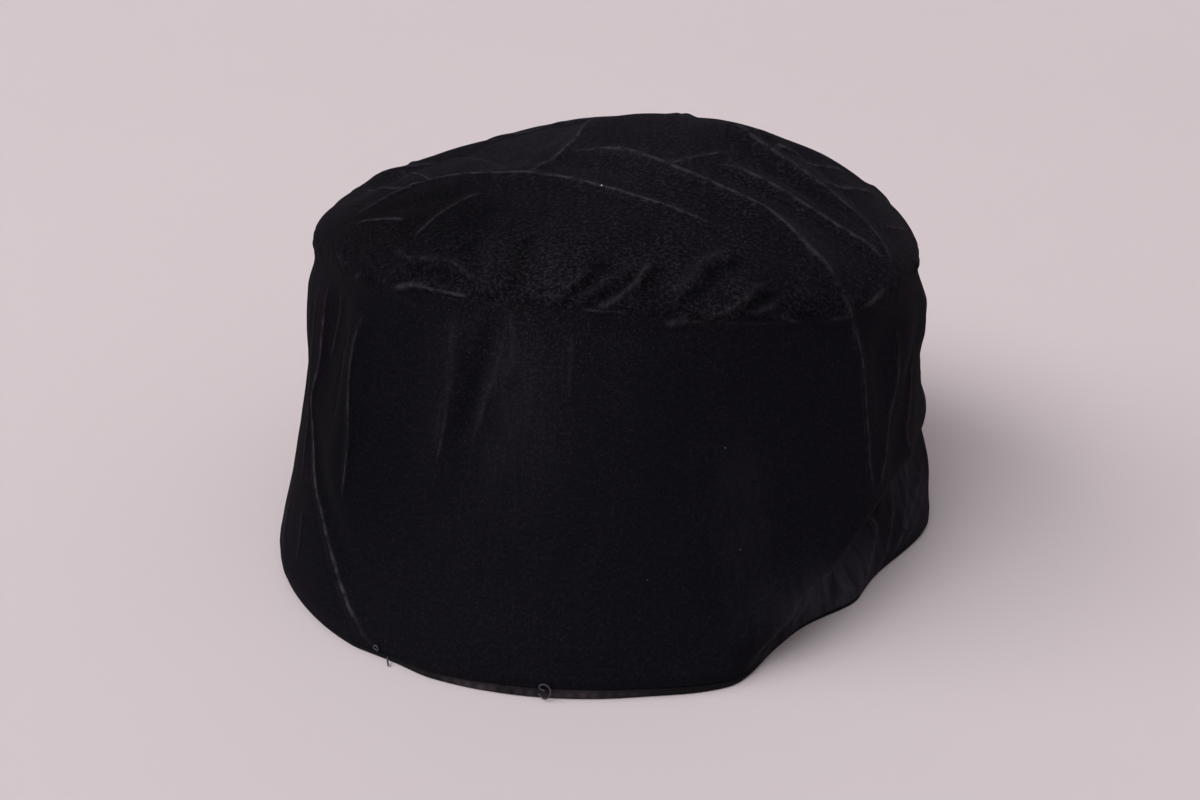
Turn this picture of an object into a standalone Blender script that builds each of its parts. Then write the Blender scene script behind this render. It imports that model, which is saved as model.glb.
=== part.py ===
"""A plain velvet skullcap, soft and unlined: a puffed crown panel sewn to a tall band, whose rim is a folded hem.

The cap stands on its hem as it would on a table. Metres, +Z up, the origin at the middle of its foot, +Y to the back.
Azimuths are in degrees about the upright axis: 0 is towards +X, -90 the front and 180 towards -X.
"""

import math

import bmesh
import bpy
from mathutils import Vector

# Driving dimensions, in metres
RIM_WIDTH = 0.180
RIM_LENGTH = 0.184
SEAM_WIDTH = 0.156
SEAM_LENGTH = 0.152
BAND_HEIGHT = 0.082
CROWN_RISE = 0.021
CROWN_OVERHANG = 0.0012
BAND_WALL = 0.0022
CROWN_WALL = 0.0020
HEM_WALL = 0.0012
HEM_LIP = 0.0028
HEM_FLAP = 0.011
FLAP_EASE = 0.0003
HEM_SETBACK = 0.0003
HEM_ROLL = 0.0007
HEM_UPRIGHT = 0.005
SEAM_UPRIGHT = 0.003
CLEARANCE = 0.0003
WELD_DISTANCE = 0.00001

# How finely each sheet is cut
COLUMNS = 80
BAND_ROWS = 17
CROWN_ROWS = 14

# How the curves between the tables' rows behave
LEAN_EASE = 0.1
FOLDS_FADE_FROM = 0.88
OVERHANG_SPAN = 0.4
LONG_FOLD = 4

# Colours and roughness
BAND_COLOUR = (0.0062, 0.0055, 0.0075)
CROWN_COLOUR = (0.0085, 0.0075, 0.0105)
HEM_COLOUR = (0.0170, 0.0155, 0.0165)
VELVET_ROUGHNESS = 0.95
HEM_ROUGHNESS = 0.9

# The rim and the seam round the cap. Reaches are shares of the ellipse of the rim's or the seam's width and length,
# heights are shares of the band's height, lips are shares of the hem's lip, and a shoulder of 2 is a round one.
PLAN = (
    # azimuth, rim reach, seam reach, seam height, lip, shoulder
    (-180, 0.980, 0.981, 0.963, 0.40, 1.8),
    (-160, 1.014, 0.935, 1.000, 0.40, 1.9),
    (-140, 1.028, 0.935, 1.030, 0.40, 1.9),
    (-120, 1.028, 0.930, 1.049, 0.65, 1.8),
    (-100, 1.014, 0.938, 1.054, 1.00, 1.8),
    (-78, 0.994, 0.966, 1.033, 0.80, 1.8),
    (-60, 0.984, 0.984, 0.996, 0.40, 1.8),
    (-45, 0.990, 1.000, 0.966, 0.40, 1.8),
    (-20, 0.985, 1.014, 0.960, 0.40, 1.6),
    (0, 0.998, 1.032, 0.948, 0.40, 1.6),
    (30, 1.010, 1.025, 0.955, 0.40, 1.8),
    (60, 1.005, 1.020, 0.965, 0.40, 2.1),
    (90, 1.000, 1.020, 0.970, 0.40, 2.1),
    (120, 1.000, 1.015, 0.970, 0.40, 1.9),
    (150, 0.994, 0.995, 0.965, 0.40, 1.7),
)
RIM_REACH, SEAM_REACH, SEAM_HEIGHT, LIP, SHOULDER = range(1, 6)

# How far the band leans from the rim's reach, 0, to the seam's, 1, between its two upright edges
LEAN = (
    # height, lean
    (0.00, 0.00),
    (0.20, 0.25),
    (0.45, 0.53),
    (0.70, 0.78),
    (0.90, 0.94),
    (1.00, 1.00),
)

# Dents and folds of the band. Each follows a line from an azimuth at the hem to one at the seam, between two heights.
# Half widths are in degrees, and depths are shares of the rim's half width, positive outwards.
BAND_FOLDS = (
    # hem azimuth, seam azimuth, low height, high height, half width, depth
    (-55, 25, -0.47, 0.40, 18, -0.104),
    (-32, 20, -0.50, 0.45, 28, -0.110),
    (-74, 6, -0.30, 0.42, 12, 0.014),
    (-8, -8, 0.70, 1.20, 30, 0.021),
    (2, 2, 0.02, 0.54, 26, 0.022),
    (-36, -44, 0.30, 1.25, 8, 0.010),
    (-31, -35, 0.30, 1.10, 8, -0.008),
    (-52, -21, 0.35, 1.05, 7, 0.009),
    (-40, -8, 0.30, 1.00, 8, 0.008),
    (178, 178, 0.60, 1.20, 30, 0.018),
    (-161, -161, 0.40, 1.30, 8, 0.010),
    (-152, -152, 0.30, 1.20, 8, -0.007),
    (-142, -143, 0.25, 1.30, 7, 0.007),
    (-124, -190, -0.30, 0.55, 8, -0.012),
    (-119, -118, 0.40, 1.20, 8, 0.012),
    (-115, -110, 0.45, 1.25, 7, -0.014),
    (-92, -86, 0.50, 1.30, 12, 0.008),
    (28, 22, 0.25, 1.20, 10, -0.024),
    (58, 64, -0.40, 0.70, 15, -0.030),
    (82, 76, 0.30, 1.25, 10, 0.020),
    (104, 108, 0.15, 1.15, 12, -0.022),
    (136, 128, -0.40, 0.75, 14, -0.024),
    (150, 154, 0.35, 1.25, 9, 0.020),
)

# Ridges and hollows of the crown. Places are shares of the seam's half width and half length,
# bow is the middle's share of the length off the straight line, height a share of the crown's rise.
CROWN_FOLDS = (
    # from x, from y, to x, to y, bow, half width, height
    (-0.20, 0.36, 1.15, 0.12, 0.00, 0.54, 0.26),
    (0.28, 0.34, 0.95, 0.18, 0.00, 0.42, 0.10),
    (-0.95, -0.05, -0.20, 0.75, 0.00, 0.16, -0.22),
    (-0.90, -0.26, 0.50, -0.64, 0.12, 0.13, 0.07),
    (-0.30, -0.30, 0.04, 0.42, 0.00, 0.12, 0.06),
    (-0.20, -0.02, 0.78, -0.80, 0.04, 0.12, 0.16),
    (0.30, -0.06, 0.92, -0.54, 0.03, 0.09, 0.10),
    (0.36, 0.28, 0.92, -0.58, 0.05, 0.11, 0.16),
    (0.44, 0.10, 0.95, 0.24, 0.05, 0.10, 0.07),
    (-0.60, 0.50, -0.22, -0.18, 0.00, 0.10, -0.06),
    (-0.95, -0.30, -0.55, -0.48, 0.00, 0.10, 0.06),
    (-0.62, -0.84, -0.34, -0.30, 0.00, 0.11, 0.06),
    (-0.26, -1.00, -0.20, -0.45, 0.00, 0.09, -0.07),
    (-0.12, -1.02, 0.14, -0.66, 0.00, 0.09, -0.09),
    (0.12, -1.04, 0.36, -0.72, 0.00, 0.09, -0.08),
    (0.28, -1.02, 0.56, -0.76, 0.00, 0.08, -0.06),
    (-0.55, 0.98, 0.05, 0.45, 0.00, 0.12, 0.10),
    (-0.10, 1.05, 0.20, 0.55, 0.00, 0.12, -0.12),
    (0.30, 1.02, 0.30, 0.45, 0.00, 0.12, 0.10),
    (0.85, 0.72, 0.35, 0.40, 0.00, 0.12, -0.11),
    (-0.98, 0.42, -0.55, 0.28, 0.00, 0.11, 0.09),
)


def smooth_step(value):
    """Rises from 0 to 1 with level ends."""
    value = min(max(value, 0.0), 1.0)
    return value * value * (3 - 2 * value)


def bump(value, power=2):
    """A soft hump: 1 at 0, and 0 from 1 on either side."""
    return (1 - abs(value) ** power) ** 2 if abs(value) < 1 else 0.0


def curve_through(rows, column, at):
    """The smooth curve through one column of a table, read at a value of its first column."""
    index = 1
    while index < len(rows) - 2 and rows[index + 1][0] < at:
        index += 1
    before, start, end, after = (rows[index + step] for step in (-1, 0, 1, 2))
    span = end[0] - start[0]
    share = min(max((at - start[0]) / span, 0.0), 1.0)
    slope_in = (end[column] - before[column]) / (end[0] - before[0]) * span
    slope_out = (after[column] - start[column]) / (after[0] - start[0]) * span
    rise = smooth_step(share)
    return (
        start[column] * (1 - rise)
        + end[column] * rise
        + slope_in * share * (1 - share) ** 2
        - slope_out * share * share * (1 - share)
    )


def shifted(row, turn):
    return (row[0] + turn, *row[1:])


ROUND_PLAN = (
    shifted(PLAN[-2], -360),
    shifted(PLAN[-1], -360),
    *PLAN,
    shifted(PLAN[0], 360),
    shifted(PLAN[1], 360),
)
LEAN_CURVE = (shifted(LEAN[0], -LEAN_EASE), *LEAN, shifted(LEAN[-1], LEAN_EASE))


def wrap(azimuth):
    """The same direction between -180 and 180."""
    return (azimuth + 180) % 360 - 180


def plan(azimuth, column):
    return curve_through(ROUND_PLAN, column, wrap(azimuth))


def ellipse_reach(azimuth, width, length):
    turn = math.radians(azimuth)
    return 0.5 / math.hypot(math.cos(turn) / width, math.sin(turn) / length)


def rim_reach(azimuth):
    return ellipse_reach(azimuth, RIM_WIDTH, RIM_LENGTH) * plan(azimuth, RIM_REACH)


def seam_reach(azimuth):
    return ellipse_reach(azimuth, SEAM_WIDTH, SEAM_LENGTH) * plan(azimuth, SEAM_REACH)


def seam_height(azimuth):
    return BAND_HEIGHT * plan(azimuth, SEAM_HEIGHT)


def lip_height(azimuth):
    return HEM_LIP * plan(azimuth, LIP)


def band_fold_depth(azimuth, height):
    """How far the folds push the band out at an azimuth and a share of its height."""
    depth = 0.0
    for hem_azimuth, seam_azimuth, low, high, half_width, fold_depth in BAND_FOLDS:
        along = (height - low) / (high - low)
        middle = hem_azimuth + (seam_azimuth - hem_azimuth) * height
        across = wrap(azimuth - middle) / half_width
        depth += fold_depth * bump(across) * bump(2 * along - 1, LONG_FOLD)
    return depth * RIM_WIDTH / 2


def slack_height(azimuth, height):
    """The share of the way up the band's slack cloth, between the upright edges that the hem and the seam hold."""
    full = seam_height(azimuth)
    slack = (height * full - HEM_UPRIGHT) / (full - HEM_UPRIGHT - SEAM_UPRIGHT)
    return min(max(slack, 0.0), 1.0)


def slack_reach(azimuth, height):
    """The outer reach of the band's slack cloth at an azimuth and a share of the height."""
    height = slack_height(azimuth, height)
    lean = curve_through(LEAN_CURVE, 1, height)
    free = 1 - smooth_step((height - FOLDS_FADE_FROM) / (1 - FOLDS_FADE_FROM))
    reach = rim_reach(azimuth) * (1 - lean) + seam_reach(azimuth) * lean
    return reach + band_fold_depth(azimuth, height) * free


def band_reach(azimuth, height):
    """The band's outer reach, from 0 at the floor to 1 at the seam. The hem's flap keeps the foot of it straight."""
    low = HEM_UPRIGHT / seam_height(azimuth)
    high = HEM_FLAP / seam_height(azimuth)
    if not low < height < high:
        return slack_reach(azimuth, height)
    share = (height - low) / (high - low)
    return slack_reach(azimuth, low) * (1 - share) + slack_reach(azimuth, high) * share


def band_point(azimuth, height):
    turn = math.radians(azimuth)
    reach = band_reach(azimuth, height)
    return Vector((reach * math.cos(turn), reach * math.sin(turn), seam_height(azimuth) * height))


def inset_point(azimuth, height, inset):
    """A point level with the band's outer face and a set distance inside it, measured square to the cloth."""
    turn = 360 / COLUMNS
    step = HEM_FLAP / seam_height(azimuth) / 2
    here = band_point(azimuth, height)
    round_way = band_point(azimuth + turn, height) - band_point(azimuth - turn, height)
    up_way = band_point(azimuth, height + step) - band_point(azimuth, max(height - step, 0))
    square = round_way.cross(up_way).normalized()
    level = Vector((square.x, square.y, 0))
    return here - level.normalized() * inset / level.length


def crown_fold_height(x, y):
    """How far the folds lift the crown at a place given in shares of the seam's half width and half length."""
    height = 0.0
    for from_x, from_y, to_x, to_y, bow, half_width, fold_height in CROWN_FOLDS:
        start = Vector((from_x, from_y))
        run = Vector((to_x, to_y)) - start
        away = Vector((x, y)) - start
        along = away.dot(run) / run.length_squared
        aside = (run.x * away.y - run.y * away.x) / run.length
        aside -= bow * run.length * 4 * along * (1 - along)
        height += fold_height * bump(aside / half_width) * bump(2 * along - 1, LONG_FOLD)
    return height * CROWN_RISE


def crown_point(azimuth, rise):
    """The crown's outer face, from 0 at the seam to 1 at its middle."""
    turn = math.radians(azimuth)
    shoulder = plan(azimuth, SHOULDER)
    arc = rise * math.pi / 2
    share = math.cos(arc) ** (2 / shoulder) if rise < 1 else 0.0
    lift = math.sin(arc) ** (2 / shoulder)
    overhang = CROWN_OVERHANG * bump(2 * rise / OVERHANG_SPAN - 1)
    reach = seam_reach(azimuth) * share + overhang
    x = reach * math.cos(turn)
    y = reach * math.sin(turn)
    foot = seam_height(azimuth) + CLEARANCE
    top = BAND_HEIGHT + CROWN_RISE
    folds = crown_fold_height(x / (SEAM_WIDTH / 2), y / (SEAM_LENGTH / 2))
    return Vector((x, y, foot * (1 - lift) + top * lift + folds * lift))


def material(name, colour, roughness):
    """A cloth: one plain Principled surface."""
    made = bpy.data.materials.new(name)
    made.use_nodes = True
    surface = made.node_tree.nodes["Principled BSDF"]
    surface.inputs["Base Color"].default_value = (*colour, 1)
    surface.inputs["Roughness"].default_value = roughness
    surface.inputs["Metallic"].default_value = 0
    made.diffuse_color = (*colour, 1)
    return made


def bent_grid(name, columns, rows, place, cloth, collection):
    """A grid bent by place(u, v), where u runs once round the cap and v across the sheet."""
    mesh = bmesh.new()
    bmesh.ops.create_grid(mesh, x_segments=columns, y_segments=rows, size=0.5)
    for vertex in mesh.verts:
        vertex.co = place(vertex.co.x + 0.5, vertex.co.y + 0.5)
    bmesh.ops.remove_doubles(mesh, verts=mesh.verts, dist=WELD_DISTANCE)
    data = bpy.data.meshes.new(name)
    mesh.to_mesh(data)
    mesh.free()
    data.materials.append(cloth)
    data.shade_smooth()
    made = bpy.data.objects.new(name, data)
    collection.objects.link(made)
    return made


def thicken(sheet, wall):
    """Gives a sheet its thickness, inwards from the outer face."""
    solidify = sheet.modifiers.new("wall", "SOLIDIFY")
    solidify.thickness = wall
    solidify.offset = -1
    solidify.use_even_offset = True
    solidify.use_quality_normals = True


def band_row_height(azimuth, row):
    """The share of the height of one row: the hem's corners take the first three, and an even spread the rest."""
    full = seam_height(azimuth)
    held = (lip_height(azimuth) + CLEARANCE, HEM_UPRIGHT, HEM_FLAP)
    if row < len(held):
        return held[row] / full
    if row == BAND_ROWS:
        return 1.0
    spread = (row - len(held) + 1) / (BAND_ROWS - len(held))
    return (HEM_FLAP + (full - SEAM_UPRIGHT - HEM_FLAP) * spread) / full


def make_band(cloth, collection):
    def place(u, v):
        azimuth = 360 * u - 180
        return band_point(azimuth, band_row_height(azimuth, round(v * BAND_ROWS)))

    band = bent_grid("band", COLUMNS, BAND_ROWS, place, cloth, collection)
    thicken(band, BAND_WALL)


def make_crown(cloth, collection):
    def place(u, v):
        return crown_point(360 * u - 180, v)

    crown = bent_grid("crown", COLUMNS, CROWN_ROWS, place, cloth, collection)
    thicken(crown, CROWN_WALL)


def hem_profile(azimuth):
    """The hem's section as (inset from the band's outer face, height), up the outer side and down the inner one."""
    lip = lip_height(azimuth)
    flap = BAND_WALL + CLEARANCE + FLAP_EASE
    back = flap + HEM_WALL
    return (
        (HEM_SETBACK + HEM_ROLL, 0),
        (HEM_SETBACK, HEM_ROLL),
        (HEM_SETBACK, lip),
        (flap, lip),
        (flap, HEM_UPRIGHT),
        (flap, HEM_FLAP),
        (back, HEM_FLAP),
        (back, HEM_UPRIGHT),
        (back, 0),
    )


def make_hem(cloth, collection):
    corners = len(hem_profile(0))

    def place(u, v):
        azimuth = 360 * u - 180
        inset, height = hem_profile(azimuth)[round(v * corners) % corners]
        point = inset_point(azimuth, height / seam_height(azimuth), inset)
        point.z = height
        return point

    bent_grid("hem", COLUMNS, corners, place, cloth, collection)


def main():
    for old in list(bpy.data.objects):
        bpy.data.objects.remove(old)
    cap = bpy.data.collections.new("tubeteika skullcap")
    bpy.context.scene.collection.children.link(cap)
    make_band(material("band velvet", BAND_COLOUR, VELVET_ROUGHNESS), cap)
    make_crown(material("crown velvet", CROWN_COLOUR, VELVET_ROUGHNESS), cap)
    make_hem(material("hem cloth", HEM_COLOUR, HEM_ROUGHNESS), cap)


main()
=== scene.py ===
"""A plain black velvet skullcap on a pale sweep: its velvet, creases and gathers, its hem and loose threads.

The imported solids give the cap's three pieces. Each is made again here from the same tables as the part's
source, with more rows and columns, and with the fine creases and puckers that the solids leave out.
Metres, +Z up, -Y to the front. Azimuths are in degrees about the upright axis: 0 is towards +X, -90 the
front and 180 towards -X.
"""

import math
from collections import namedtuple

import bmesh
import bpy
import numpy as np
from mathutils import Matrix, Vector, noise
from numpy.linalg import norm


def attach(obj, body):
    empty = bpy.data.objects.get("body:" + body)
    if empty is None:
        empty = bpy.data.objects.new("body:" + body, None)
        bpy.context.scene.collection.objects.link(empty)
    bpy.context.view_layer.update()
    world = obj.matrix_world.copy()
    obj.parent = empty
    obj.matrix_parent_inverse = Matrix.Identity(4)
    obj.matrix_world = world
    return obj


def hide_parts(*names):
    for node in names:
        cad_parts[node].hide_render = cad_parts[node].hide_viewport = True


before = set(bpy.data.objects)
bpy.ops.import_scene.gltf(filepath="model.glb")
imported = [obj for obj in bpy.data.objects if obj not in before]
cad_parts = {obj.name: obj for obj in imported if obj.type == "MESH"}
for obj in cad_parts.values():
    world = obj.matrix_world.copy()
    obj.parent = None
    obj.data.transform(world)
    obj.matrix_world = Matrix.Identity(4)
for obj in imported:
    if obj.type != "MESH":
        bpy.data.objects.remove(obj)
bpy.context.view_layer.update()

# The part's driving dimensions
RIM_WIDTH = 0.180
RIM_LENGTH = 0.184
SEAM_WIDTH = 0.156
SEAM_LENGTH = 0.152
BAND_HEIGHT = 0.082
CROWN_RISE = 0.021
CROWN_OVERHANG = 0.0012
BAND_WALL = 0.0022
CROWN_WALL = 0.0020
HEM_WALL = 0.0012
HEM_LIP = 0.0028
HEM_FLAP = 0.011
FLAP_EASE = 0.0003
HEM_SETBACK = 0.0003
HEM_UPRIGHT = 0.005
SEAM_UPRIGHT = 0.003
CLEARANCE = 0.0003
LEAN_EASE = 0.1
FOLDS_FADE_FROM = 0.88
OVERHANG_SPAN = 0.4
LONG_FOLD = 4

PLAN = (
    # azimuth, rim reach, seam reach, seam height, lip, shoulder
    (-180, 0.98, 0.981, 0.963, 0.4, 1.8),
    (-160, 1.014, 0.935, 1, 0.4, 1.9),
    (-140, 1.028, 0.935, 1.03, 0.4, 1.9),
    (-120, 1.028, 0.93, 1.049, 0.65, 1.8),
    (-100, 1.014, 0.938, 1.054, 1, 1.8),
    (-78, 0.994, 0.966, 1.033, 0.8, 1.8),
    (-60, 0.984, 0.984, 0.996, 0.4, 1.8),
    (-45, 0.99, 1, 0.966, 0.4, 1.8),
    (-20, 0.985, 1.014, 0.96, 0.4, 1.6),
    (0, 0.998, 1.032, 0.948, 0.4, 1.6),
    (30, 1.01, 1.025, 0.955, 0.4, 1.8),
    (60, 1.005, 1.02, 0.965, 0.4, 2.1),
    (90, 1, 1.02, 0.97, 0.4, 2.1),
    (120, 1, 1.015, 0.97, 0.4, 1.9),
    (150, 0.994, 0.995, 0.965, 0.4, 1.7),
)
RIM_REACH, SEAM_REACH, SEAM_HEIGHT, LIP, SHOULDER = range(1, 6)

# Heights up the band, and how far it leans in there
LEAN = ((0, 0), (0.2, 0.25), (0.45, 0.53), (0.7, 0.78), (0.9, 0.94), (1, 1))

BAND_FOLDS = (
    # hem azimuth, seam azimuth, low height, high height, half width, depth
    (-55, 25, -0.47, 0.4, 18, -0.104),
    (-32, 20, -0.5, 0.45, 28, -0.11),
    (-74, 6, -0.3, 0.42, 12, 0.014),
    (-8, -8, 0.7, 1.2, 30, 0.021),
    (2, 2, 0.02, 0.54, 26, 0.022),
    (-36, -44, 0.3, 1.25, 8, 0.01),
    (-31, -35, 0.3, 1.1, 8, -0.008),
    (-52, -21, 0.35, 1.05, 7, 0.009),
    (-40, -8, 0.3, 1, 8, 0.008),
    (178, 178, 0.6, 1.2, 30, 0.018),
    (-161, -161, 0.4, 1.3, 8, 0.01),
    (-152, -152, 0.3, 1.2, 8, -0.007),
    (-142, -143, 0.25, 1.3, 7, 0.007),
    (-124, -190, -0.3, 0.55, 8, -0.012),
    (-119, -118, 0.4, 1.2, 8, 0.012),
    (-115, -110, 0.45, 1.25, 7, -0.014),
    (-92, -86, 0.5, 1.3, 12, 0.008),
    (28, 22, 0.25, 1.2, 10, -0.024),
    (58, 64, -0.4, 0.7, 15, -0.03),
    (82, 76, 0.3, 1.25, 10, 0.02),
    (104, 108, 0.15, 1.15, 12, -0.022),
    (136, 128, -0.4, 0.75, 14, -0.024),
    (150, 154, 0.35, 1.25, 9, 0.02),
)

CROWN_FOLDS = (
    # from x, from y, to x, to y, bow, half width, height
    (-0.2, 0.36, 1.15, 0.12, 0, 0.54, 0.26),
    (0.28, 0.34, 0.95, 0.18, 0, 0.42, 0.1),
    (-0.95, -0.05, -0.2, 0.75, 0, 0.16, -0.22),
    (-0.9, -0.26, 0.5, -0.64, 0.12, 0.13, 0.07),
    (-0.3, -0.3, 0.04, 0.42, 0, 0.12, 0.06),
    (-0.2, -0.02, 0.78, -0.8, 0.04, 0.12, 0.16),
    (0.3, -0.06, 0.92, -0.54, 0.03, 0.09, 0.1),
    (0.36, 0.28, 0.92, -0.58, 0.05, 0.11, 0.16),
    (0.44, 0.1, 0.95, 0.24, 0.05, 0.1, 0.07),
    (-0.6, 0.5, -0.22, -0.18, 0, 0.1, -0.06),
    (-0.95, -0.3, -0.55, -0.48, 0, 0.1, 0.06),
    (-0.62, -0.84, -0.34, -0.3, 0, 0.11, 0.06),
    (-0.26, -1, -0.2, -0.45, 0, 0.09, -0.07),
    (-0.12, -1.02, 0.14, -0.66, 0, 0.09, -0.09),
    (0.12, -1.04, 0.36, -0.72, 0, 0.09, -0.08),
    (0.28, -1.02, 0.56, -0.76, 0, 0.08, -0.06),
    (-0.55, 0.98, 0.05, 0.45, 0, 0.12, 0.1),
    (-0.1, 1.05, 0.2, 0.55, 0, 0.12, -0.12),
    (0.3, 1.02, 0.3, 0.45, 0, 0.12, 0.1),
    (0.85, 0.72, 0.35, 0.4, 0, 0.12, -0.11),
    (-0.98, 0.42, -0.55, 0.28, 0, 0.11, 0.09),
)

# How finely each sheet is made here
COLUMNS = 600
BAND_ROWS = 112
CROWN_ROWS = 128
INNER_STEP = 8
EDGE_ROLL = 0.00012
EDGE_ROWS = 5

# Creases: the places that each runs through, the half width of its crushed pile's painted sheen, how pale
# that is, the half width of the ridge or groove, and its height. Lengths are in millimetres.
Crease = namedtuple("Crease", "through line paleness ridge height")

# Creases of the crown, in shares of the seam's half width and half length
CROWN_CREASES = (
    (
        ((-0.84, -0.26), (-0.58, -0.16), (-0.36, -0.24), (-0.15, -0.32), (0.1, -0.47), (0.36, -0.6)),
        0.8, 0.85, 3, 0.7,
    ),
    (((-0.26, -0.3), (-0.14, -0.08), (-0.09, 0.11), (-0.02, 0.5)), 0.8, 0.65, 3.2, 0.8),
    (
        (
            (-0.16, -0.06), (0.07, -0.17), (0.24, -0.32), (0.35, -0.4),
            (0.48, -0.48), (0.6, -0.62), (0.71, -0.74),
        ),
        1.1, 0.85, 3.4, 0.9,
    ),
    (((-0.03, -0.09), (0.08, -0.15), (0.17, -0.17), (0.26, -0.1), (0.42, 0.01)), 0.7, 0.7, 2.8, 0.6),
    (((0.34, -0.1), (0.52, -0.23), (0.67, -0.36), (0.86, -0.49)), 0.8, 0.8, 3, 0.9),
    (
        ((0.38, 0.27), (0.45, 0.13), (0.51, 0.05), (0.67, -0.13), (0.81, -0.3), (0.87, -0.49)),
        0.9, 0.6, 3.2, 0.9,
    ),
    (((0.54, 0.05), (0.6, 0.06), (0.65, 0.1)), 1.4, 1, 3, 0.6),
    (((0.64, 0.01), (0.7, 0.06), (0.8, 0.16)), 0.9, 0.8, 2.6, 0.5),
    (((0.68, -0.11), (0.78, -0.02), (0.91, 0.12)), 0.9, 0.75, 2.6, 0.5),
    (((0.86, -0.22), (0.93, -0.16), (0.98, -0.08)), 0.9, 0.55, 2.4, 0.4),
    (((-0.73, 0.34), (-0.66, 0.1), (-0.56, -0.16)), 0.7, 0.65, 3, 0.6),
    (((-0.84, 0.22), (-0.72, -0.06), (-0.57, -0.2)), 0.7, 0.6, 2.6, 0.45),
    (((-0.79, -0.32), (-0.6, -0.46)), 0.8, 0.7, 2.6, 0.5),
    (((-0.58, -0.58), (-0.5, -0.47), (-0.38, -0.36)), 0.9, 0.42, 3, 0.5),
    (((-0.56, 0.5), (-0.42, 0.12), (-0.28, -0.22)), 0.7, 0.3, 3, -0.45),
    (((-0.5, 0.8), (-0.24, 0.62), (0.02, 0.4)), 0.8, 0.55, 3.4, 0.6),
    (((0.26, 0.86), (0.3, 0.62), (0.22, 0.34)), 0.8, 0.55, 3.4, 0.6),
    (((0.74, 0.52), (0.52, 0.42), (0.3, 0.44)), 0.8, 0.5, 3, -0.5),
    (((-0.86, 0.36), (-0.66, 0.34), (-0.5, 0.44)), 0.8, 0.5, 3, 0.5),
)

# Creases of the band, as azimuths and shares of its height
BAND_CREASES = (
    (
        ((-160, 0.97), (-158, 0.71), (-159, 0.56), (-153, 0.41), (-144, 0.28), (-132, 0.11), (-124.6, 0.01)),
        0.8, 0.85, 2.6, 0.55,
    ),
    (((-141, 0.92), (-143, 0.75), (-140, 0.53), (-139, 0.36)), 0.7, 0.6, 2.4, 0.5),
    (((-165, 0.92), (-163, 0.62), (-156, 0.3)), 0.6, 0.42, 2.2, 0.35),
    (((-170, 0.86), (-170, 0.6), (-166, 0.4)), 0.6, 0.36, 2.2, 0.3),
    (((-152, 0.94), (-153, 0.82), (-154, 0.7)), 0.6, 0.4, 2, 0.35),
    (((-147, 0.86), (-148, 0.7), (-147, 0.56)), 0.6, 0.24, 2, -0.35),
    (((-162, 0.24), (-160, 0.15), (-157, 0.07)), 1, 0.45, 2.6, 0.35),
    (((-153, 0.27), (-150.5, 0.18), (-149, 0.11)), 0.7, 0.3, 2, 0.25),
    (((-118.5, 0.96), (-118, 0.78), (-119, 0.68), (-119.5, 0.58)), 1.6, 0.1, 4.4, 0.7),
    (((-118, 0.74), (-118.5, 0.64), (-119.5, 0.56)), 0.7, 0.28, 2, 0.25),
    (((-111, 0.99), (-112, 0.9), (-113.5, 0.81), (-115.5, 0.62)), 1.2, 0, 4.6, -0.52),
    (((-109, 0.93), (-110, 0.83), (-112, 0.73), (-113.5, 0.62)), 1, 0.16, 2.8, 0.6),
    (((-96.5, 0.95), (-96.5, 0.86), (-97, 0.76)), 0.9, 0.14, 2.6, 0.4),
    (((-45, 0.99), (-43, 0.93), (-42, 0.82), (-42, 0.63), (-42, 0.52), (-41, 0.4)), 0.7, 0.6, 2.4, 0.55),
    (((-29, 0.9), (-30, 0.72), (-35, 0.59), (-41, 0.4)), 0.6, 0.6, 2.4, 0.5),
    (((-20, 0.8), (-24, 0.62), (-27, 0.5), (-20, 0.3), (-16, 0.2)), 0.6, 0.5, 2.2, 0.45),
    (((-30, 0.28), (-28, 0.17), (-32, 0.1), (-36, 0.03)), 0.8, 0.7, 2.4, 0.45),
    (((-21, 0.36), (-18, 0.2), (-24, 0.09), (-31, 0.02)), 0.8, 0.6, 2.4, 0.45),
    (((-3, 0.23), (-9, 0.17), (-14, 0.12), (-20, 0.07), (-25, 0.02)), 0.8, 0.6, 2.4, 0.4),
    (((-4, 0.18), (-11, 0.11), (-16, 0.07), (-21, 0.03)), 0.7, 0.45, 2.2, 0.35),
    (((-12, 0.36), (-11, 0.24), (-15, 0.14), (-21, 0.06)), 0.7, 0.45, 2.2, 0.35),
    (((-13, 0.88), (-15, 0.66), (-19, 0.48)), 0.6, 0.38, 2.2, 0.35),
    (((-8, 0.9), (-9, 0.7), (-12, 0.5)), 0.6, 0.38, 2.2, 0.35),
    (((-36, 0.4), (-37, 0.3), (-39, 0.22)), 0.9, 0.22, 2.6, 0.3),
    (((-48, 0.25), (-55, 0.24), (-60, 0.2), (-63, 0.14), (-66, 0.08), (-70, 0.02)), 1.8, 0.5, 3.8, 0.45),
    (((-61, 0.1), (-63, 0.05), (-67, 0.01)), 1.4, 0.4, 2.8, 0.3),
    (((-43, 0.14), (-45, 0.08), (-48, 0.01)), 1.2, 0, 3, -0.45),
    (((-52, 0.16), (-55, 0.09), (-58, 0.02)), 1.2, 0.18, 2.8, 0.35),
    (((24, 0.92), (20, 0.6), (26, 0.3)), 0.8, 0.45, 3, -0.4),
    (((60, 0.56), (58, 0.3), (62, 0.08)), 0.9, 0.4, 3.4, -0.45),
    (((78, 0.94), (80, 0.7), (84, 0.44)), 0.8, 0.5, 3, 0.45),
    (((108, 0.92), (105, 0.6), (107, 0.32)), 0.8, 0.4, 3, -0.4),
    (((132, 0.62), (135, 0.34), (140, 0.1)), 0.9, 0.4, 3.4, -0.45),
    (((153, 0.94), (152, 0.66), (156, 0.42)), 0.8, 0.5, 3, 0.45),
)

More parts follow.
